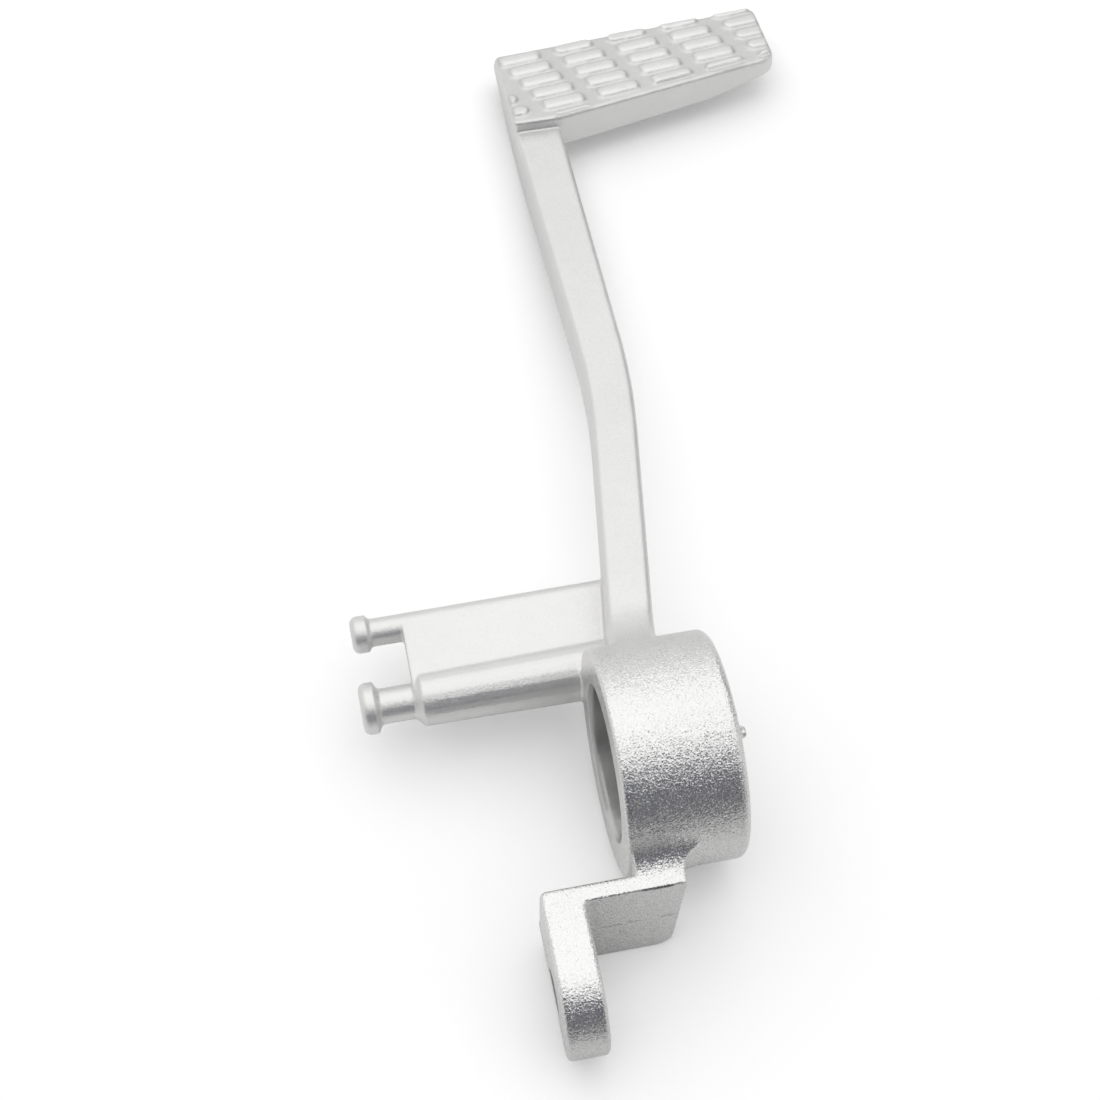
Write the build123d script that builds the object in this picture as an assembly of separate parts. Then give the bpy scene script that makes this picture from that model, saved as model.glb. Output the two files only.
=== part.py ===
from build123d import *
import math
import os

# Rear brake pedal of a motorcycle: one aluminium casting. All sizes are in millimetres and degrees.
# The origin is the middle of the pivot bore. X runs forward to the pad, Y runs inboard along the bore
# and Z runs up. Lying on a table, the pedal rests on its hub, its rear bracket and the foot of its arm.

# Pivot hub
HUB_DIAMETER = 36.0
HUB_LENGTH = 19.0
HUB_OUTBOARD_ROUND = 1.4
HUB_INBOARD_ROUND = 0.6
BORE_DIAMETER = 24.0
BORE_CHAMFER = 0.6
GATE_NUB_RADIUS = 0.9
GATE_NUB_HEIGHT = 0.8
GATE_NUB_ANGLE = 112.0

# Lever arm
LEVER_LENGTH = 141.3
ARM_DEPTH = 9.2
ARM_ROOT_RISE = 6.0
ARM_ROOT_WIDTH = 7.4
ARM_BEND_WIDTH = 8.0
ARM_END_WIDTH = 9.7
ARM_ROOT_OFFSET = 1.3
ARM_BEND_OFFSET = -7.2
ARM_END_OFFSET = -7.6
ARM_BEND_POSITION = 72.0
ARM_BEND_RADIUS = 150.0
ARM_EDGE_ROUND = 1.1
ARM_TOP_FILLET = 15.0
ARM_BOTTOM_FILLET = 6.0
ARM_FOOT_LENGTH = 10.0

# Tread pad
PAD_LENGTH = 55.2
PAD_INBOARD_DEPTH = 22.7
PAD_OUTBOARD_DEPTH = 17.7
PAD_SWEEP = 11.5
PAD_SLOPE = 9.0
PAD_LIP_RISE = 2.3
PAD_NEAR_THICKNESS = 7.0
PAD_FAR_THICKNESS = 3.2
PAD_TIP_THICKNESS = 3.0
PAD_CORNER_ROUND = 3.0
PAD_EDGE_ROUND = 0.7

# Tread ribs on the pad, in staggered rows turned against its near edge
RIB_ROWS = 6
RIB_COLUMNS = 6
RIB_TURN = 7.5
RIB_LENGTH = 8.3
RIB_WIDTH = 2.9
RIB_HEIGHT = 0.7
RIB_DRAFT = 8.0
RIB_ROW_PITCH = 4.1
RIB_COLUMN_PITCH = 11.4
RIB_STAGGER = 0.95
RIB_FIRST_OUT = 0.9
RIB_FIRST_BACK = -1.05
RIB_MARGIN = 0.4

# Spring bar and its two posts
BAR_REACH = 36.3
BAR_DROP = 3.0
BAR_FORWARD = 17.4
ROD_FORWARD = 1.9
ROD_DROP = 6.5
ROD_ROOT_DIAMETER = 9.8
ROD_TIP_DIAMETER = 8.8
ROD_SHOULDER = 1.2
POST_HEAD_LENGTH = 3.1
POST_HEAD_ROUND = 1.2
LOWER_POST_LENGTH = 8.8
LOWER_NECK_DIAMETER = 5.9
LOWER_HEAD_DIAMETER = 8.5
UPPER_POST_LENGTH = 8.4
UPPER_NECK_DIAMETER = 4.7
UPPER_HEAD_DIAMETER = 6.2

# Rear bracket with the eye for the brake rod
BRACKET_RISE = 2.4
WEB_SETBACK = 1.75
WEB_THICKNESS = 2.85
WEB_DRAFT = 3.65
WEB_OUTBOARD_EDGE = 1.55
WEB_SIDE_DRAFT = 5.0
WEB_CORNER_ROUND = 3.0
WEB_HUB_FILLET = 5.0
WEB_FLARE = 2.6
EYE_SETBACK = 14.0
EYE_OUTER_FACE = 23.75
EYE_THICKNESS = 6.7
EYE_HOLE_DIAMETER = 6.2
EYE_EDGE_BREAK = 0.5
BRACKET_CORNER_ROUND = 1.2

# Levels and places that follow from the sizes above
HUB_RADIUS = HUB_DIAMETER / 2
REST_LEVEL = -HUB_RADIUS
ARM_END_TOP = REST_LEVEL + ARM_DEPTH
PAD_INBOARD_FACE = ARM_END_OFFSET + ARM_END_WIDTH / 2
EYE_RADIUS = (HUB_RADIUS + BRACKET_RISE) / 2
EYE_X = -HUB_RADIUS - EYE_SETBACK
EYE_Z = REST_LEVEL + EYE_RADIUS


def rounded_polygon(corners):
    """Closed outline through corners given as (x, y, corner radius)."""
    outline = Polygon(*[(x, y) for x, y, radius in corners], align=None)
    for x, y, radius in corners:
        if radius > 0:
            outline = fillet(outline.vertices().sort_by_distance((x, y, 0))[0], radius)
    return outline


def across(profile, near, far):
    """Side profile, drawn as X against Z, made solid between two places along Y."""
    return extrude(Plane.XZ.offset(-far) * profile, far - near)


def make_hub():
    """Solid hub with its two rims rounded; the bore is cut when everything is joined."""
    hub = Rot(90, 0, 0) * Cylinder(HUB_RADIUS, HUB_LENGTH)
    rims = hub.edges().filter_by(GeomType.CIRCLE).sort_by(Axis.Y)
    hub = fillet(rims[0], HUB_OUTBOARD_ROUND)
    rims = hub.edges().filter_by(GeomType.CIRCLE).sort_by(Axis.Y)
    hub = fillet(rims[-1], HUB_INBOARD_ROUND)
    # The stub of the casting gate stands on the outboard face, half over the rounded rim.
    angle = math.radians(GATE_NUB_ANGLE)
    place = HUB_RADIUS - HUB_OUTBOARD_ROUND - GATE_NUB_RADIUS / 2
    nub = Rot(90, 0, 0) * Cylinder(GATE_NUB_RADIUS, 2 * GATE_NUB_HEIGHT)
    return hub + Pos(place * math.cos(angle), -HUB_LENGTH / 2, place * math.sin(angle)) * nub


def make_arm():
    """Lever arm: its plan outline and its side outline meet in one solid, with the long edges rounded."""
    end = LEVER_LENGTH + PAD_INBOARD_DEPTH
    fall = (ARM_ROOT_RISE - ARM_END_TOP) / (LEVER_LENGTH - HUB_RADIUS)
    foot = LEVER_LENGTH - ARM_FOOT_LENGTH / 2
    # The side outline starts well inside the hub and ends under the far edge of the pad.
    side = Polygon(
        (0, ARM_ROOT_RISE + fall * HUB_RADIUS - ARM_DEPTH),
        (foot, REST_LEVEL),
        (foot + ARM_FOOT_LENGTH, REST_LEVEL),
        (end, ARM_END_TOP - fall * PAD_INBOARD_DEPTH - PAD_FAR_THICKNESS),
        (end, ARM_END_TOP - fall * PAD_INBOARD_DEPTH),
        (0, ARM_ROOT_RISE + fall * HUB_RADIUS),
        align=None,
    )
    side = side + Circle(HUB_RADIUS)
    under = side.vertices().sort_by_distance((HUB_RADIUS, ARM_ROOT_RISE - ARM_DEPTH, 0))[0]
    side = fillet(under, ARM_BOTTOM_FILLET)
    over = side.vertices().sort_by_distance((HUB_RADIUS, ARM_ROOT_RISE, 0))[0]
    side = fillet(over, ARM_TOP_FILLET)

    slant = (ARM_BEND_OFFSET - ARM_ROOT_OFFSET) / (ARM_BEND_POSITION - HUB_RADIUS)
    start = HUB_RADIUS / 2
    middle = ARM_ROOT_OFFSET - slant * (HUB_RADIUS - start)
    plan = rounded_polygon([
        (start, middle - ARM_ROOT_WIDTH / 2, 0),
        (ARM_BEND_POSITION, ARM_BEND_OFFSET - ARM_BEND_WIDTH / 2, ARM_BEND_RADIUS),
        (end, ARM_END_OFFSET - ARM_END_WIDTH / 2, 0),
        (end, ARM_END_OFFSET + ARM_END_WIDTH / 2, 0),
        (ARM_BEND_POSITION, ARM_BEND_OFFSET + ARM_BEND_WIDTH / 2, ARM_BEND_RADIUS),
        (start, middle + ARM_ROOT_WIDTH / 2, 0),
    ])
    arm = extrude(plan, 2 * HUB_DIAMETER, both=True) & across(side, -PAD_LENGTH, PAD_LENGTH)
    long_edges = [
        edge for edge in arm.edges()
        if edge.center().X > HUB_RADIUS and abs(edge.tangent_at(0.5).X) > 0.5
    ]
    return fillet(long_edges, ARM_EDGE_ROUND)


def pad_plane():
    """Top of the pad at its inboard near corner: local x runs outboard, y forward and z out of the tread."""
    slope = math.radians(PAD_SLOPE)
    return Plane(
        origin=(LEVER_LENGTH, PAD_INBOARD_FACE, ARM_END_TOP + PAD_LIP_RISE),
        x_dir=(0, -1, 0),
        z_dir=(math.sin(slope), 0, math.cos(slope)),
    )


def pad_tip():
    """How far forward the near edge of the pad has swept at its outboard tip."""
    return (PAD_LENGTH - ARM_END_WIDTH) * math.tan(math.radians(PAD_SWEEP))


def pad_outline(inset):
    """Tread outline in the pad's plane, drawn in by an inset: straight over the arm, then swept."""
    outline = rounded_polygon([
        (0, 0, PAD_CORNER_ROUND / 3),
        (ARM_END_WIDTH, 0, 0),
        (PAD_LENGTH, pad_tip(), PAD_CORNER_ROUND),
        (PAD_LENGTH, pad_tip() + PAD_OUTBOARD_DEPTH, PAD_CORNER_ROUND / 2),
        (0, PAD_INBOARD_DEPTH, PAD_CORNER_ROUND / 3),
    ])
    if inset > 0:
        outline = offset(outline, -inset)
    return outline


def make_pad():
    """Pad plate: thick along its near face, thin at the far edge, its underside curving up to the tip."""
    top = pad_plane()
    far = pad_tip() + PAD_OUTBOARD_DEPTH
    section = Plane(origin=top.origin, x_dir=top.y_dir, z_dir=top.x_dir) * Polygon(
        (0, -PAD_NEAR_THICKNESS),
        (far, -PAD_FAR_THICKNESS),
        (far, 0),
        (0, 0),
        align=None,
    )
    bottom = Line((0, -PAD_NEAR_THICKNESS), (PAD_LENGTH / 2, -PAD_NEAR_THICKNESS))
    sweep = TangentArc(bottom @ 1, (PAD_LENGTH, -PAD_TIP_THICKNESS), tangent=(1, 0))
    rest = Polyline(sweep @ 1, (PAD_LENGTH, 0), (0, 0), bottom @ 0)
    front = Plane(origin=top.origin, x_dir=top.x_dir, z_dir=-top.y_dir) * make_face([bottom, sweep, rest])
    pad = extrude(top * pad_outline(0), -PAD_NEAR_THICKNESS)
    pad = pad & extrude(section, PAD_LENGTH) & extrude(front, -far)
    rim = [edge for edge in pad.edges() if abs(top.to_local_coords(edge.center()).Z) < PAD_EDGE_ROUND / 2]
    return fillet(rim, PAD_EDGE_ROUND)


def make_ribs():
    """Raised tread ribs with drafted sides, cut off where the rows run out over the edge of the pad."""
    rib = Rectangle(RIB_LENGTH, RIB_WIDTH)
    rib = chamfer(rib.vertices(), RIB_WIDTH / 3)
    ribs = Sketch()
    for row in range(RIB_ROWS):
        for column in range(RIB_COLUMNS):
            out = RIB_FIRST_OUT + column * RIB_COLUMN_PITCH - row * RIB_STAGGER
            back = RIB_FIRST_BACK + row * RIB_ROW_PITCH
            ribs += Pos(out, back) * rib
    ribs = Rot(0, 0, RIB_TURN) * ribs
    kept = [face for face in (ribs & pad_outline(RIB_MARGIN)).faces() if face.area > RIB_WIDTH**2 / 2]
    # Each rib starts below the rounded rim of the pad, so that it stands on solid metal everywhere.
    foot = pad_plane().offset(-PAD_EDGE_ROUND)
    return extrude(foot * Sketch(kept), RIB_HEIGHT + PAD_EDGE_ROUND, taper=RIB_DRAFT)


def spring_post(length, neck_diameter, head_diameter):
    """Spring post along Y: a neck that starts inside the bar and a head that flares out to a rounded rim."""
    neck = neck_diameter / 2
    head = head_diameter / 2
    lip = (head - neck) / 2
    end = BAR_REACH + length
    flare = end - POST_HEAD_LENGTH
    crown = head - POST_HEAD_ROUND
    stem = Polyline((head, flare + lip), (neck, flare), (neck, 0), (0, 0), (0, end), (crown, end))
    dome = TangentArc(stem @ 1, (head, end - POST_HEAD_ROUND), tangent=(1, 0))
    rim = Line(dome @ 1, stem @ 0)
    return revolve(make_face([stem, dome, rim]), Axis.Y)


def make_spring_bar():
    """Flat bar with a round far edge and a tapered rod beside it, reaching to the two spring posts."""
    rod_x = HUB_RADIUS + ROD_FORWARD
    edge = UPPER_NECK_DIAMETER / 2
    upper_x = HUB_RADIUS + BAR_FORWARD - edge
    upper_z = -BAR_DROP - edge
    bar = Polygon(
        (rod_x, upper_z - edge),
        (upper_x, upper_z - edge),
        (upper_x, upper_z + edge),
        (rod_x, upper_z + edge),
        align=None,
    )
    bar = across(bar + Pos(upper_x, upper_z) * Circle(edge), 0, BAR_REACH)
    rod = Polygon(
        (0, 0),
        (ROD_ROOT_DIAMETER / 2, 0),
        (ROD_TIP_DIAMETER / 2, BAR_REACH - ROD_SHOULDER),
        (ROD_TIP_DIAMETER / 2 - ROD_SHOULDER, BAR_REACH),
        (0, BAR_REACH),
        align=None,
    )
    rod = revolve(rod, Axis.Y) + spring_post(LOWER_POST_LENGTH, LOWER_NECK_DIAMETER, LOWER_HEAD_DIAMETER)
    upper = spring_post(UPPER_POST_LENGTH, UPPER_NECK_DIAMETER, UPPER_HEAD_DIAMETER)
    return bar + Pos(rod_x, 0, -ROD_DROP) * rod + Pos(upper_x, 0, upper_z) * upper


def make_bracket():
    """Web behind the hub, necked into it, and the eye plate that stands back from the web's inboard end."""
    top = BRACKET_RISE
    height = top - REST_LEVEL
    front = -HUB_RADIUS - WEB_SETBACK
    rear = front - WEB_THICKNESS
    lean = math.tan(math.radians(WEB_DRAFT))
    slant = math.tan(math.radians(WEB_SIDE_DRAFT))

    # Web: upright in front, drafted behind, with its outboard end drawn in towards a rounded foot
    section = Polygon(
        (rear - height * lean, REST_LEVEL),
        (front, REST_LEVEL),
        (front, top),
        (rear, top),
        align=None,
    )
    outline = rounded_polygon([
        (WEB_OUTBOARD_EDGE + height * slant, REST_LEVEL, WEB_CORNER_ROUND),
        (EYE_OUTER_FACE, REST_LEVEL, 0),
        (EYE_OUTER_FACE, top, 0),
        (WEB_OUTBOARD_EDGE, top, 0),
    ])
    web = across(section, 0, EYE_OUTER_FACE) & extrude(Plane.YZ * outline, 2 * HUB_DIAMETER, both=True)

    # Neck: a hollow rises from the top of the web to the hub, and a round ends the gap between them below
    reach = HUB_RADIUS + WEB_HUB_FILLET
    foot = -math.sqrt(reach**2 - (top + WEB_HUB_FILLET) ** 2)
    touch = (foot * HUB_RADIUS / reach, (top + WEB_HUB_FILLET) * HUB_RADIUS / reach)
    gap = -math.sqrt(front**2 - HUB_RADIUS**2)
    meet = (HUB_RADIUS**2 / front, -gap * HUB_RADIUS / front)
    wall = -(HUB_DIAMETER + BORE_DIAMETER) / 4
    hollow = TangentArc((foot, top), touch, tangent=(1, 0))
    inside = Polyline(touch, (wall, touch[1]), (wall, meet[1]), meet)
    round_end = TangentArc((front, gap), meet, tangent=(0, 1))
    neck = make_face([hollow, inside, round_end, Polyline((front, gap), (foot, gap), (foot, top))])
    neck = neck & Polygon(
        (rear - height * lean, REST_LEVEL),
        (0, REST_LEVEL),
        (0, HUB_RADIUS),
        (rear + (HUB_RADIUS - top) * lean, HUB_RADIUS),
        align=None,
    )
    # Seen from above the neck flares out past the end of the web as it nears the hub.
    flared = rounded_polygon([
        (2 * rear, WEB_OUTBOARD_EDGE, 0),
        (-HUB_RADIUS, WEB_OUTBOARD_EDGE, WEB_FLARE),
        (-HUB_RADIUS, WEB_OUTBOARD_EDGE - 2 * WEB_FLARE, 0),
        (0, WEB_OUTBOARD_EDGE - 2 * WEB_FLARE, 0),
        (0, EYE_OUTER_FACE, 0),
        (2 * rear, EYE_OUTER_FACE, 0),
    ])
    flared = extrude(Pos(0, 0, top) * flared, HUB_DIAMETER, dir=(0, -slant, 1), both=True)
    neck = across(neck, WEB_OUTBOARD_EDGE - WEB_FLARE, HUB_LENGTH / 2 - HUB_INBOARD_ROUND) & flared

    eye = Pos(EYE_X, EYE_Z) * Circle(EYE_RADIUS)
    eye += Polygon((EYE_X, REST_LEVEL), (front, REST_LEVEL), (front, top), (EYE_X, top), align=None)
    bracket = web + across(eye, EYE_OUTER_FACE - EYE_THICKNESS, EYE_OUTER_FACE)
    corner = bracket.edges().sort_by_distance((front, EYE_OUTER_FACE, EYE_Z))[0]
    bracket = fillet(corner, BRACKET_CORNER_ROUND)
    rims = [
        edge for edge in bracket.edges().filter_by(GeomType.CIRCLE)
        if abs(edge.radius - EYE_RADIUS) < 0.01
    ]
    return chamfer(rims, EYE_EDGE_BREAK) + neck


def through_hole(diameter, length, chamfer_size):
    """Cutter along Y for a hole with both mouths chamfered, centred on the wall it goes through."""
    bore = diameter / 2
    face = length / 2
    half = Polygon(
        (0, 0),
        (bore, 0),
        (bore, face - chamfer_size),
        (bore + 2 * chamfer_size, face + chamfer_size),
        (0, face + chamfer_size),
        align=None,
    )
    return revolve(half + mirror(half, Plane.XZ), Axis.Y)


def make_pedal():
    """All the stretches of the casting in one solid, with the pivot bore and the rod eye cut through."""
    pedal = make_hub() + make_arm() + make_pad() + make_ribs() + make_spring_bar() + make_bracket()
    pedal -= through_hole(BORE_DIAMETER, HUB_LENGTH, BORE_CHAMFER)
    pedal -= Pos(EYE_X, EYE_OUTER_FACE - EYE_THICKNESS / 2, EYE_Z) * through_hole(
        EYE_HOLE_DIAMETER, EYE_THICKNESS, EYE_EDGE_BREAK
    )
    return pedal


pedal = make_pedal()
os.makedirs("parts", exist_ok=True)
export_step(pedal, "parts/pedal_casting.step")
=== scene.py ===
import math

import bmesh
import bpy
from mathutils import Matrix, Vector


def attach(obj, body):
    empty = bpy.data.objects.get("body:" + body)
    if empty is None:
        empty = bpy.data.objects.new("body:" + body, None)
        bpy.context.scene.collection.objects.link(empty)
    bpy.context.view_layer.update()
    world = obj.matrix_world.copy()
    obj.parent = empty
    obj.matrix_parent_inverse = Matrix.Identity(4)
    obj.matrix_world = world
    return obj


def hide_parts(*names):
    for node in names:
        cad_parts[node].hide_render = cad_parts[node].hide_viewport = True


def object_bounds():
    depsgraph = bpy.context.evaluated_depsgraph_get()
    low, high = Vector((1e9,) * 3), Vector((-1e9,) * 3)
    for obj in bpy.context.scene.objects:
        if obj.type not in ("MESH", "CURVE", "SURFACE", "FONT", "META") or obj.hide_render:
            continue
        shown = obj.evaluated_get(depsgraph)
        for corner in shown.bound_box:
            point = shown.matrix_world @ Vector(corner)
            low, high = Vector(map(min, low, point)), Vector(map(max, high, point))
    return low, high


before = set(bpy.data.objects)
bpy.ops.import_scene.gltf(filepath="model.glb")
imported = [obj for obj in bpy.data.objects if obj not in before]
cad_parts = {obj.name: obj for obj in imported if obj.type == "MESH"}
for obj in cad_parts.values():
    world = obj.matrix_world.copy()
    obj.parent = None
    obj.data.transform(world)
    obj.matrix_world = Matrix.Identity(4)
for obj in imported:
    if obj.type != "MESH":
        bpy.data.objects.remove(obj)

MM = 0.001
CAD_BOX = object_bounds()
FLOOR_LEVEL = CAD_BOX[0].z

# Pad plane: its inboard near corner, its slope down towards the far edge and the way its face looks
PAD_CORNER = Vector((141.3, -2.75, -6.5)) * MM
PAD_SLOPE = math.radians(9.0)
PAD_UP = Vector((math.sin(PAD_SLOPE), 0.0, math.cos(PAD_SLOPE)))
PAD_LENGTH = 55.2 * MM
PAD_SWEPT = 9.26 * MM
PAD_STRAIGHT = 9.7 * MM
PAD_INBOARD_DEPTH = 22.7 * MM
PAD_OUTBOARD_DEPTH = 17.7 * MM

# Tread ribs, on the same grid as the casting's own
RIB_ROWS = 6
RIB_COLUMNS = 6
RIB_TURN = math.radians(7.5)
RIB_ROW_PITCH = 4.1 * MM
RIB_COLUMN_PITCH = 11.4 * MM
RIB_STAGGER = 0.95 * MM
RIB_FIRST_OUT = 0.9 * MM
RIB_FIRST_BACK = -1.05 * MM
RIB_CROWN_LENGTH = 8.3 * MM
RIB_CROWN_WIDTH = 3.0 * MM
RIB_CROWN_HEIGHT = 0.78 * MM
RIB_CROWN_ROOT = 0.6 * MM
RIB_CROWN_BLOCK = 1.0 * MM
RIB_CROWN_MARGIN = 1.0 * MM

# Cast skin; its waves sink into the solid by up to WAVE_SINK of their height, and so stay inside its box
SKIN_VOXEL = 0.22 * MM
SKIN_SMOOTHING = 6
SKIN_TRIANGLES = 185000
TREAD_SMOOTHING = 8
WAVE_LENGTH = 4.5 * MM
WAVE_HEIGHT = 0.05 * MM
WAVE_SINK = 0.85

# Rear bracket: its mould parting, the outboard end of its web and the hub that it stands behind
PARTING_LEVEL = -7.8 * MM
PARTING_RIDGE = 0.12 * MM
DRAFT_BELOW = math.tan(math.radians(4.0))
EYE_SIDE = 21.5 * MM
EYE_SIDE_BLEND = 1.5 * MM
EYE_X = -32.0 * MM
WEB_FRONT = -19.75 * MM
WEB_TOP = 2.4 * MM
WEB_END = 1.55 * MM
WEB_END_DRAFT = math.tan(math.radians(5.0))
HUB_RADIUS = 18.0 * MM

# Blasted finish
BASE_TONE = 0.82
BASE_ROUGHNESS = 0.28
MOTTLE_SIZE = 14 * MM
PATCH_SIZE = 4 * MM
GRAIN_SIZE = 0.30 * MM
GRAIN_RELIEF = 0.10 * MM
SPARKLE_SIZE = 0.24 * MM
DENT_SIZE = 0.20 * MM
DENT_TILT = 0.19
FINER_BLAST = 0.62
CREVICE_REACH = 1.4 * MM

# Where the finish changes, in millimetres: each pair is where a mask begins and where it is full
BAR_Y = (9.3, 10.2)
BAR_X = (-16, -13)
ARM_X = (8, 24)
BORE_R = (12.7, 12.4)
BORE_Y = (9.9, 9.6)
BORE_SHEEN_TOP_X = (1, -5)
BORE_SHEEN_LOW_X = (-10.8, -8.8)
EYE_R = (3.9, 3.4)
EYE_Y = (16.2, 17.4)
TREAD_X = (140.8, 141.6)
TREAD_LOW = (-0.25, -0.05)
TREAD_HIGH = (0.55, 0.15)
EDGE_LINE_FRONT_X = (-22.0, -22.4)
EDGE_LINE_REAR_X = (-23.4, -23.0)
EDGE_LINE_LOW_Z = (1.75, 1.95)
EDGE_LINE_HIGH_Z = (2.32, 2.22)
EDGE_LINE_OUTBOARD_Y = (0.5, 1.5)
EDGE_LINE_INBOARD_Y = (10, 7)
PAD_X = (138, 141)
PARTING_Z = (0.22, 0.0)
PARTING_X = (-22.0, -22.8)
PARTING_Y = (16, 14)

# Floor: pale to the camera; painted shade darkens it behind the pedal in what the casting reflects, and
# painted contact shadow darkens it near the casting
PAPER_TONE = 0.95
PAPER_REFLECTED = 0.03
PAPER_GLOW = 0.24
PAPER_HALF = 3.0
PAPER_GAP = 0.01 * MM
CONTACT_REACH = 9 * MM
CONTACT_SHADE = 0.35
BAR_SHADE_REACH = 18 * MM
BAR_SHADE = 0.22

# Room that the casting reflects, and the softbox over it
WHITE = (1.0, 1.0, 1.0, 1.0)
PALE_WALL = (0.77, 0.77, 0.77, 1.0)
DARK_WALL = (0.125, 0.126, 0.147, 1.0)
DARK_WALL_WAY = Vector((-math.cos(math.radians(20)), 0.12, math.sin(math.radians(20)))).normalized()
DARK_STRIP = (0.08, 0.08, 0.085, 1.0)
DARK_STRIP_WAY = Vector((0.5, -0.85, 0.12)).normalized()
DARK_STRIP_SHARE = 0.7
SOFTBOX_LENGTH = 1.68
SOFTBOX_WIDTH = 1.10
SOFTBOX_POWER = 2.5
SOFTBOX_LEAN = math.radians(5.5)
SOFTBOX_AIM = Vector((0.06, 0.0, 0.0))
SOFTBOX_DISTANCE = 0.75

# Camera of the photograph: place, and the way it looks
CAMERA_PLACE = Vector((-131.84, 44.10, 280.02)) * MM
CAMERA_DOWN = math.radians(58.0)
CAMERA_TURN = math.radians(11.2)
CAMERA_LENS = 65.45
CAMERA_SENSOR = 36.0


class Wire:
    """An output socket: arithmetic on it adds Math nodes, and make() adds a node of any other kind."""

    def __init__(self, tree, socket=None):
        self.tree = tree
        self.socket = socket

    def make(self, kind, settings=None, inputs=None, out=None):
        node = self.tree.nodes.new(kind)
        for name, value in (settings or {}).items():
            setattr(node, name, value)
        for name, value in (inputs or {}).items():
            socket = pick(node.inputs, name)
            if isinstance(value, Wire):
                self.tree.links.new(value.socket, socket)
            else:
                socket.default_value = value
        return Wire(self.tree, pick(node.outputs, out)) if node.outputs else None

    def math(self, operation, *others):
        return self.make("ShaderNodeMath", {"operation": operation}, dict(enumerate((self, *others))))

    def vector(self, operation, *others, out=None):
        inputs = dict(enumerate((self, *others)))
        return self.make("ShaderNodeVectorMath", {"operation": operation}, inputs, out)

    def scaled(self, factor):
        """Vector that is this one times a number."""
        return self.make("ShaderNodeVectorMath", {"operation": "SCALE"}, {0: self, "Scale": factor})

    def dot(self, other):
        return self.vector("DOT_PRODUCT", tuple(other), out="Value")

    def between(self, low, high):
        """0 below low, 1 above high and smooth in between; with low above high it falls instead."""
        limits = {"Value": self, "From Min": low, "From Max": high}
        return self.make("ShaderNodeMapRange", {"interpolation_type": "SMOOTHSTEP"}, limits)

    def blend(self, first, second):
        """Colour that goes from first to second as this value goes from 0 to 1."""
        return self.make("ShaderNodeMix", {"data_type": "RGBA"}, {"Factor": self, "A": first, "B": second})

    def split(self):
        whole = self.make("ShaderNodeSeparateXYZ", inputs={"Vector": self})
        return [Wire(self.tree, socket) for socket in whole.socket.node.outputs]

    def __add__(self, other):
        return self.math("ADD", other)

    def __sub__(self, other):
        return self.math("SUBTRACT", other)

    def __rsub__(self, other):
        return self.make("ShaderNodeMath", {"operation": "SUBTRACT"}, {0: other, 1: self})

    def __mul__(self, other):
        return self.math("MULTIPLY", other)

    def __truediv__(self, other):
        return self.math("DIVIDE", other)

    def __rtruediv__(self, other):
        return self.make("ShaderNodeMath", {"operation": "DIVIDE"}, {0: other, 1: self})

    def __pow__(self, other):
        return self.math("POWER", other)

    __radd__ = __add__
    __rmul__ = __mul__


def pick(sockets, name):
    """Socket by its number, its identifier or its name; without one, the first that is in use."""
    if isinstance(name, int):
        return sockets[name]
    return next(s for s in sockets if s.enabled and (name is None or name in (s.identifier, s.name)))


def new_material(name):
    material = bpy.data.materials.new(name)
    material.use_nodes = True
    material.node_tree.nodes.clear()
    return material, Wire(material.node_tree)


def noise(place, size, detail):
    """Noise from 0 to 1 whose lumps are about size metres across."""
    inputs = {"Vector": place, "Scale": 1 / size, "Detail": detail}
    return place.make("ShaderNodeTexNoise", inputs=inputs, out="Fac")


def occlusion(start, reach):
    """1 in the open, falling to 0 where other surfaces crowd in closer than reach."""
    return start.make("ShaderNodeAmbientOcclusion", {"samples": 8}, {"Distance": reach}, out="AO")


def ray_is(start, kind):
    return start.make("ShaderNodeLightPath", out=f"Is {kind} Ray")


def combined(start, red, green, blue):
    return start.make("ShaderNodeCombineColor", inputs={"Red": red, "Green": green, "Blue": blue})


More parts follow.
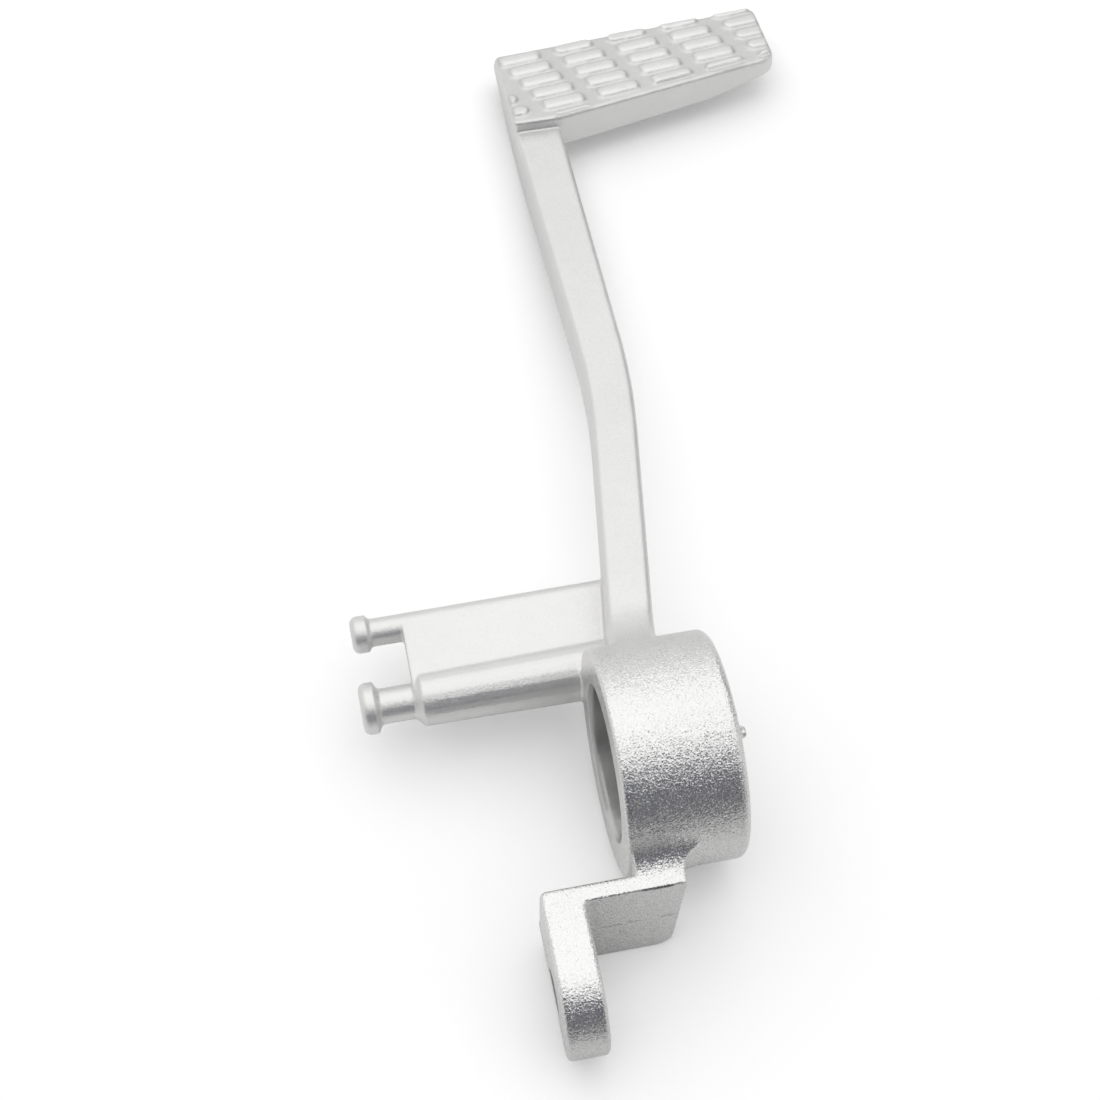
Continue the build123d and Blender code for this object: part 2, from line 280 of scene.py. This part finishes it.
def blasted_aluminium():
    """Bead-blasted cast aluminium: fine grain, softly mottled, darker with painted shade in crevices and
    hollows.
    """
    material, start = new_material("blasted_aluminium")
    place = start.make("ShaderNodeTexCoord", out="Object")
    x, y, z = [axis / MM for axis in place.split()]

    mottle = noise(place, MOTTLE_SIZE, 3.0)
    patches = noise(place, PATCH_SIZE, 2.0)
    grain = noise(place, GRAIN_SIZE, 1.0)
    sparkle = noise(place, SPARKLE_SIZE, 0.0)

    # Arm, pad and spring bar are blasted finer than hub and bracket
    bar = y.between(*BAR_Y) * x.between(*BAR_X)
    fine = x.between(*ARM_X).math("MAXIMUM", bar)
    bite = 1 - fine * FINER_BLAST

    # As-cast wall of the pivot bore, rougher than the outside and darkened by painted shade; one patch is
    # left paler, a painted reflection of light from the opening
    radius = (x * x + z * z).math("SQRT")
    bore = radius.between(*BORE_R) * y.math("ABSOLUTE").between(*BORE_Y)
    blotches = noise(place, PATCH_SIZE, 1.0).between(0.35, 0.65)
    tread_wear_and_bore_sheen = bore * x.between(*BORE_SHEEN_TOP_X) * x.between(*BORE_SHEEN_LOW_X) * (0.5 + blotches * 0.5)

    # Painted shade darkens the inside of the eye for the brake rod
    from_eye = ((x - EYE_X / MM) ** 2 + (z - PARTING_LEVEL / MM) ** 2).math("SQRT")
    eye = from_eye.between(*EYE_R) * y.between(*EYE_Y)

    # Tread: painted shade darkens the floor between the ribs
    over_pad = (place.dot(PAD_UP) - PAD_CORNER.dot(PAD_UP)) / MM
    tread_floor_shade = x.between(*TREAD_X) * over_pad.between(*TREAD_LOW) * over_pad.between(*TREAD_HIGH)

    # Dark broken line along the rear top edge of the web
    rear_edge = x.between(*EDGE_LINE_FRONT_X) * x.between(*EDGE_LINE_REAR_X)
    rear_edge = rear_edge * z.between(*EDGE_LINE_LOW_Z) * z.between(*EDGE_LINE_HIGH_Z)
    broken = noise(place, 1.6 * MM, 2.0).between(0.38, 0.55)
    dark_edge_line = rear_edge * y.between(*EDGE_LINE_OUTBOARD_Y) * y.between(*EDGE_LINE_INBOARD_Y) * broken

    # Painted shade: the colour darkens in crevices and corners, half as much on the pad
    crevice = occlusion(start, CREVICE_REACH)
    crevice_shade = (1 - crevice.between(0.15, 0.85)) * (1 - x.between(*PAD_X) * 0.5)

    tone = BASE_TONE + (mottle - 0.5) * 0.06 + (patches - 0.5) * 0.05 + (grain - 0.5) * bite * 0.12
    # Painted shade in crevices, inside the bore except one paler patch of painted reflection, inside the eye
    # and on the tread floor; then the dark line along the web's rear top edge
    for mask, loss in ((crevice_shade, 0.30), (bore - tread_wear_and_bore_sheen, 0.46), (eye, 0.7), (tread_floor_shade, 0.12), (dark_edge_line, 0.75)):
        tone = tone * (1 - mask * loss)
    colour = combined(start, tone, tone * 0.997, tone * 0.984)
    roughness = BASE_ROUGHNESS + fine * 0.19 + (patches - 0.5) * 0.10 + (sparkle - 0.5) * 0.12
    roughness = roughness + bore * 0.12 + tread_wear_and_bore_sheen * 0.25

    # Faint broken line where the mould parted along the rear of the web
    from_parting = (z - PARTING_LEVEL / MM).math("ABSOLUTE")
    parting = from_parting.between(*PARTING_Z) * x.between(*PARTING_X) * y.between(*PARTING_Y)
    parting = parting * noise(place, 2.5 * MM, 2.0).between(0.42, 0.58)
    height = grain * bite * (1 - bore * 0.8) + parting * 1.2

    # Each bead leaves a small dent with a tilt of its own
    dents = start.make("ShaderNodeTexVoronoi", inputs={"Vector": place, "Scale": 1 / DENT_SIZE}, out="Color")
    tilt = dents.vector("SUBTRACT", (0.5, 0.5, 0.5)).scaled(2.0)
    tilt = tilt.vector("MULTIPLY", tilt.vector("ABSOLUTE")).scaled(bite * (1 - bore) * DENT_TILT)
    level = start.make("ShaderNodeNewGeometry", out="Normal")
    dented = level.vector("ADD", tilt).vector("NORMALIZE")
    bump = start.make("ShaderNodeBump", inputs={
        "Strength": 1.0, "Distance": GRAIN_RELIEF, "Height": height, "Normal": dented,
    })

    surface = start.make("ShaderNodeBsdfPrincipled", inputs={
        "Base Color": colour, "Metallic": 1.0, "Roughness": roughness, "Normal": bump,
    })
    start.make("ShaderNodeOutputMaterial", inputs={"Surface": surface})
    return material


def geometry_tree(name, sizes):
    """Empty geometry tree with named number inputs; gives the tree and a wire for each input."""
    tree = bpy.data.node_groups.new(name, "GeometryNodeTree")
    tree.interface.new_socket("Geometry", in_out="INPUT", socket_type="NodeSocketGeometry")
    for label, value in sizes.items():
        kind = "NodeSocketInt" if isinstance(value, int) else "NodeSocketFloat"
        tree.interface.new_socket(label, in_out="INPUT", socket_type=kind)
    tree.interface.new_socket("Geometry", in_out="OUTPUT", socket_type="NodeSocketGeometry")
    entry = tree.nodes.new("NodeGroupInput")
    return tree, {socket.name: Wire(tree, socket) for socket in entry.outputs if socket.name}


def add_tree(piece, tree, sizes):
    """Puts a geometry tree on a piece and sets the tree's inputs."""
    modifier = piece.modifiers.new(tree.name, "NODES")
    modifier.node_group = tree
    for item in tree.interface.items_tree:
        if item.in_out == "INPUT" and item.name in sizes:
            modifier[item.identifier] = sizes[item.name]


def settle(piece):
    """Turns what a piece's modifiers make into its own plain mesh and takes the modifiers off."""
    graph = bpy.context.evaluated_depsgraph_get()
    mesh = bpy.data.meshes.new_from_object(piece.evaluated_get(graph))
    piece.modifiers.clear()
    piece.data = mesh
    return piece


def new_piece(name):
    piece = bpy.data.objects.new(name, bpy.data.meshes.new(name))
    bpy.context.scene.collection.objects.link(piece)
    return piece


def tread_crowns(material):
    """Rounded crowns on the whole ribs of the tread, set out on the grid of the casting."""
    sizes = {
        "Rows": RIB_ROWS, "Columns": RIB_COLUMNS,
        "Row pitch": RIB_ROW_PITCH, "Column pitch": RIB_COLUMN_PITCH, "Stagger": RIB_STAGGER,
        "First out": RIB_FIRST_OUT, "First back": RIB_FIRST_BACK, "Turn": RIB_TURN,
        "Crown length": RIB_CROWN_LENGTH, "Crown width": RIB_CROWN_WIDTH, "Crown height": RIB_CROWN_HEIGHT,
    }
    tree, size = geometry_tree("tread_crowns", sizes)
    start = Wire(tree)

    # One crown: a fine block whose ends are drawn in and whose top is rounded over
    box = start.make("ShaderNodeCombineXYZ", inputs={
        0: size["Crown length"], 1: size["Crown width"], 2: RIB_CROWN_BLOCK,
    })
    block = start.make("GeometryNodeMeshCube", inputs={
        "Size": box, "Vertices X": 15, "Vertices Y": 7, "Vertices Z": 3,
    }, out="Mesh")
    x, y, z = start.make("GeometryNodeInputPosition").split()
    along = (x * 2 / size["Crown length"]).math("ABSOLUTE")
    aside = (y * 2 / size["Crown width"]).math("ABSOLUTE")
    drawn = 1 - along ** 10 * 0.25
    sunk = (1 - aside ** 4 * 0.35) * (1 - along ** 10 * 0.40)
    lift = z.between(-RIB_CROWN_BLOCK / 2, RIB_CROWN_BLOCK / 2)
    rise = lift * (size["Crown height"] * sunk + RIB_CROWN_ROOT) - RIB_CROWN_ROOT
    shaped = start.make("ShaderNodeCombineXYZ", inputs={0: x, 1: y * drawn, 2: rise})
    crown = start.make("GeometryNodeSetPosition", inputs={"Geometry": block, "Position": shaped})

    # The grid of ribs in the pad's plane, each row stepped back against the one before
    grid = start.make("GeometryNodeMeshGrid", inputs={
        "Size X": (size["Columns"] - 1) * size["Column pitch"],
        "Size Y": (size["Rows"] - 1) * size["Row pitch"],
        "Vertices X": size["Columns"], "Vertices Y": size["Rows"],
    }, out="Mesh")
    out, back = start.make("GeometryNodeInputPosition").split()[:2]
    row = back / size["Row pitch"] + (size["Rows"] - 1) / 2
    out = out + (size["Columns"] - 1) * size["Column pitch"] / 2 + size["First out"] - row * size["Stagger"]
    back = row * size["Row pitch"] + size["First back"]
    spot = start.make("ShaderNodeCombineXYZ", inputs={0: out, 1: back, 2: 0.0})
    turned = start.make("ShaderNodeVectorRotate", {"rotation_type": "Z_AXIS"}, {
        "Vector": spot, "Angle": size["Turn"],
    })
    spots = start.make("GeometryNodeSetPosition", inputs={"Geometry": grid, "Position": turned})

    # Ribs that run over the edge of the pad are left as the casting has them
    out, back = start.make("GeometryNodeInputPosition").split()[:2]
    reach = size["Crown length"] / 2
    side = size["Crown width"] / 2 + RIB_CROWN_MARGIN
    near = ((out - PAD_STRAIGHT) / (PAD_LENGTH - PAD_STRAIGHT)).math("MAXIMUM", 0.0) * PAD_SWEPT
    far = PAD_INBOARD_DEPTH + out / PAD_LENGTH * (PAD_SWEPT + PAD_OUTBOARD_DEPTH - PAD_INBOARD_DEPTH)
    over = reach - out
    for other in (out + reach - PAD_LENGTH, near + side - back, back + side - far):
        over = over.math("MAXIMUM", other)
    spots = start.make("GeometryNodeDeleteGeometry", {"domain": "POINT"}, {
        "Geometry": spots, "Selection": over.math("GREATER_THAN", 0.0),
    })

    turn = start.make("ShaderNodeCombineXYZ", inputs={2: size["Turn"]})
    crowns = start.make("GeometryNodeInstanceOnPoints", inputs={
        "Points": spots, "Instance": crown, "Rotation": turn,
    })
    axes = Matrix((
        (0, math.cos(PAD_SLOPE), math.sin(PAD_SLOPE)),
        (-1, 0, 0),
        (0, -math.sin(PAD_SLOPE), math.cos(PAD_SLOPE)),
    ))
    crowns = start.make("GeometryNodeTransform", inputs={
        "Geometry": crowns, "Translation": PAD_CORNER, "Rotation": axes.to_euler(),
    })
    crowns = start.make("GeometryNodeRealizeInstances", inputs={"Geometry": crowns})
    crowns = start.make("GeometryNodeSetMaterial", inputs={"Geometry": crowns, "Material": material})
    start.make("NodeGroupOutput", inputs={"Geometry": crowns})

    piece = new_piece("tread_crowns")
    add_tree(piece, tree, sizes)
    return settle(piece)


def cast_details(material):
    """Tree that gives the even skin what mould and wear leave: waves, parting ridge, draft, soft tread."""
    sizes = {
        "Wave length": WAVE_LENGTH, "Wave height": WAVE_HEIGHT, "Parting level": PARTING_LEVEL,
        "Parting ridge": PARTING_RIDGE, "Draft below": DRAFT_BELOW, "End draft": WEB_END_DRAFT,
        "Hub radius": HUB_RADIUS, "Tread smoothing": TREAD_SMOOTHING,
    }
    tree, size = geometry_tree("cast_details", sizes)
    start = Wire(tree)
    place = start.make("GeometryNodeInputPosition")
    x, y, z = place.split()
    lumps = noise(place, size["Wave length"], 1.0)
    normal = start.make("GeometryNodeInputNormal", out="Normal")
    waves = normal.scaled((lumps - WAVE_SINK) * size["Wave height"])

    # The side of the eye is drawn in below the parting, which stands out as a low ridge
    side = y.between(EYE_SIDE - EYE_SIDE_BLEND, EYE_SIDE + EYE_SIDE_BLEND)
    side = side * x.between(WEB_FRONT + 1 * MM, WEB_FRONT)
    below = (size["Parting level"] - z).math("MAXIMUM", 0.0) * size["Draft below"]
    from_parting = (z - size["Parting level"]).math("ABSOLUTE")
    ridge = from_parting.between(0.45 * MM, 0.1 * MM) * size["Parting ridge"]

    # Below its top the neck ends flush with the web, without the flare it has above
    end = WEB_END + (WEB_TOP - z) * size["End draft"]
    radius = (x * x + z * z).math("SQRT")
    clear = radius.between(size["Hub radius"] + 0.05 * MM, size["Hub radius"] + 0.4 * MM)
    low = z.between(2.0 * MM, 0.4 * MM) * x.between(-15.5 * MM, -16.5 * MM)
    flush = (end - y).math("MAXIMUM", 0.0) * clear * low

    inward = start.make("ShaderNodeCombineXYZ", inputs={1: (ridge - below) * side + flush})

    # The tread is worn soft, and ribs that run over its near edge are worn away there
    over_pad = place.dot(PAD_UP) - PAD_CORNER.dot(PAD_UP)
    sweep = PAD_SWEPT / (PAD_LENGTH - PAD_STRAIGHT)
    swept = (PAD_CORNER.y - PAD_STRAIGHT - y).math("MAXIMUM", 0.0) * sweep
    from_edge = x - PAD_CORNER.x - swept
    tread = over_pad.between(-1.2 * MM, -0.5 * MM) * from_edge.between(0.6 * MM, 1.6 * MM)
    edge = from_edge.between(2.2 * MM, 1.2 * MM) * from_edge.between(-2.0 * MM, -1.0 * MM)
    down = over_pad.math("MAXIMUM", 0.0) * edge
    tread_wear_and_bore_sheen = start.make("ShaderNodeVectorMath", {"operation": "SCALE"}, {"Vector": -PAD_UP, "Scale": down})
    soft = start.make("GeometryNodeBlurAttribute", {"data_type": "FLOAT_VECTOR"}, {
        "Value": place, "Iterations": size["Tread smoothing"], "Weight": tread,
    })
    moved = start.make("GeometryNodeSetPosition", inputs={
        "Geometry": size["Geometry"], "Position": soft,
        "Offset": waves.vector("ADD", inward).vector("ADD", tread_wear_and_bore_sheen),
    })
    whole = start.make("GeometryNodeRealizeInstances", inputs={"Geometry": moved})
    whole = start.make("GeometryNodeSetMaterial", inputs={"Geometry": whole, "Material": material})
    start.make("NodeGroupOutput", inputs={"Geometry": whole})
    return tree, sizes


def casting_skin(material):
    """The casting with soft cast edges: the solid and the rib crowns grown together under one even skin."""
    shell = bmesh.new()
    shell.from_mesh(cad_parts["pedal_casting"].data)
    bmesh.ops.remove_doubles(shell, verts=shell.verts, dist=0.001 * MM)
    crowns = tread_crowns(material)
    shell.from_mesh(crowns.data)
    bpy.data.objects.remove(crowns)
    skin = new_piece("casting_skin")
    shell.to_mesh(skin.data)
    shell.free()

    remesh = skin.modifiers.new("even_skin", "REMESH")
    remesh.mode = "VOXEL"
    remesh.voxel_size = SKIN_VOXEL
    smooth = skin.modifiers.new("soft_edges", "SMOOTH")
    smooth.factor = 0.5
    smooth.iterations = SKIN_SMOOTHING
    tree, sizes = cast_details(material)
    add_tree(skin, tree, sizes)
    settle(skin)

    skin.data.calc_loop_triangles()
    thin = skin.modifiers.new("thin_flats", "DECIMATE")
    thin.ratio = min(1.0, SKIN_TRIANGLES / len(skin.data.loop_triangles))
    settle(skin)
    skin.data.shade_smooth()
    skin.data.materials.clear()
    skin.data.materials.append(material)
    return skin


def white_floor():
    """Pale floor that takes the soft shadow, with painted contact shadow added, and reads as white to the
    camera.
    """
    material, start = new_material("white_floor")
    x, y = start.make("ShaderNodeTexCoord", out="Object").split()[:2]
    camera = ray_is(start, "Camera")

    # Painted shade: the floor is darker behind the pedal for every ray but the camera's
    behind = x.between(0.0, -0.12) * 0.50 + x.between(-0.08, -0.30) * 0.35
    # Painted contact shadow: the floor's colour darkens where the casting crowds in close above it
    touch = occlusion(start, CONTACT_REACH).between(0.1, 1.0)
    shade = PAPER_TONE - (behind + PAPER_REFLECTED) * (1 - camera)
    shade = shade * (1 - CONTACT_SHADE + touch * CONTACT_SHADE)

    # The spring bar hangs higher than the rest; a painted shadow darkens the floor below it
    by_bar = x.between(-0.012, 0.004) * x.between(0.06, 0.04) * y.between(0.006, 0.014)
    under = occlusion(start, BAR_SHADE_REACH).between(0.2, 1.0)
    shade = shade * (1 - by_bar * (1 - under) * BAR_SHADE)
    paper = start.make("ShaderNodeBsdfDiffuse", inputs={"Color": combined(start, shade, shade, shade)})

    far = (x * x + y * y).math("SQRT").between(0.4, 1.2)
    seen = (camera + ray_is(start, "Transmission")) * (PAPER_GLOW + far * (1 - PAPER_GLOW))
    seen = seen + ray_is(start, "Glossy") * 0.03
    glow = start.make("ShaderNodeEmission", inputs={
        "Color": combined(start, seen, seen, seen), "Strength": 1.0,
    })
    both = start.make("ShaderNodeAddShader", inputs={0: paper, 1: glow})
    start.make("ShaderNodeOutputMaterial", inputs={"Surface": both})

    sheet = bmesh.new()
    corners = ((-1, -1), (1, -1), (1, 1), (-1, 1))
    level = FLOOR_LEVEL - PAPER_GAP
    sheet.faces.new([sheet.verts.new((a * PAPER_HALF, b * PAPER_HALF, level)) for a, b in corners])
    floor = new_piece("floor")
    sheet.to_mesh(floor.data)
    sheet.free()
    floor.data.materials.append(material)


def studio_light():
    """One large softbox overhead, a pale room ahead of the pedal and a dark one behind the camera."""
    world = bpy.data.worlds.new("studio")
    bpy.context.scene.world = world
    world.use_nodes = True
    world.node_tree.nodes.clear()
    start = Wire(world.node_tree)
    way = start.make("ShaderNodeTexCoord", out="Generated")
    beside = way.dot(DARK_STRIP_WAY).between(0.86, 0.97) * DARK_STRIP_SHARE
    behind = way.dot(DARK_WALL_WAY).between(0.55, 0.88)
    room = behind.blend(beside.blend(PALE_WALL, DARK_STRIP), DARK_WALL)
    seen = ray_is(start, "Camera").blend(room, WHITE)
    glow = start.make("ShaderNodeBackground", inputs={"Color": seen, "Strength": 1.0})
    start.make("ShaderNodeOutputWorld", inputs={"Surface": glow})

    lamp = bpy.data.lights.new("softbox", "AREA")
    lamp.shape = "RECTANGLE"
    lamp.size = SOFTBOX_LENGTH
    lamp.size_y = SOFTBOX_WIDTH
    lamp.energy = SOFTBOX_POWER
    box = bpy.data.objects.new("softbox", lamp)
    bpy.context.scene.collection.objects.link(box)
    up = Vector((math.sin(SOFTBOX_LEAN), 0.0, math.cos(SOFTBOX_LEAN)))
    across = Vector((0.0, 1.0, 0.0))
    box.location = SOFTBOX_AIM + up * SOFTBOX_DISTANCE
    box.rotation_mode = "QUATERNION"
    box.rotation_quaternion = Matrix((across.cross(up), across, up)).transposed().to_quaternion()


def photo_camera():
    """Camera that sees the pedal as the photograph does."""
    data = bpy.data.cameras.new("camera")
    data.lens = CAMERA_LENS
    data.sensor_width = CAMERA_SENSOR
    data.clip_start = 0.01
    data.clip_end = 50.0
    camera = bpy.data.objects.new("camera", data)
    bpy.context.scene.collection.objects.link(camera)
    look = Vector((
        math.cos(CAMERA_DOWN) * math.cos(CAMERA_TURN),
        -math.cos(CAMERA_DOWN) * math.sin(CAMERA_TURN),
        -math.sin(CAMERA_DOWN),
    ))
    camera.location = CAMERA_PLACE
    camera.rotation_mode = "QUATERNION"
    camera.rotation_quaternion = look.to_track_quat("-Z", "Y")
    bpy.context.scene.camera = camera


photo_camera()
studio_light()
white_floor()
skin = casting_skin(blasted_aluminium())
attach(skin, "root")
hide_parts("pedal_casting")
bpy.context.scene.view_settings.view_transform = "Standard"
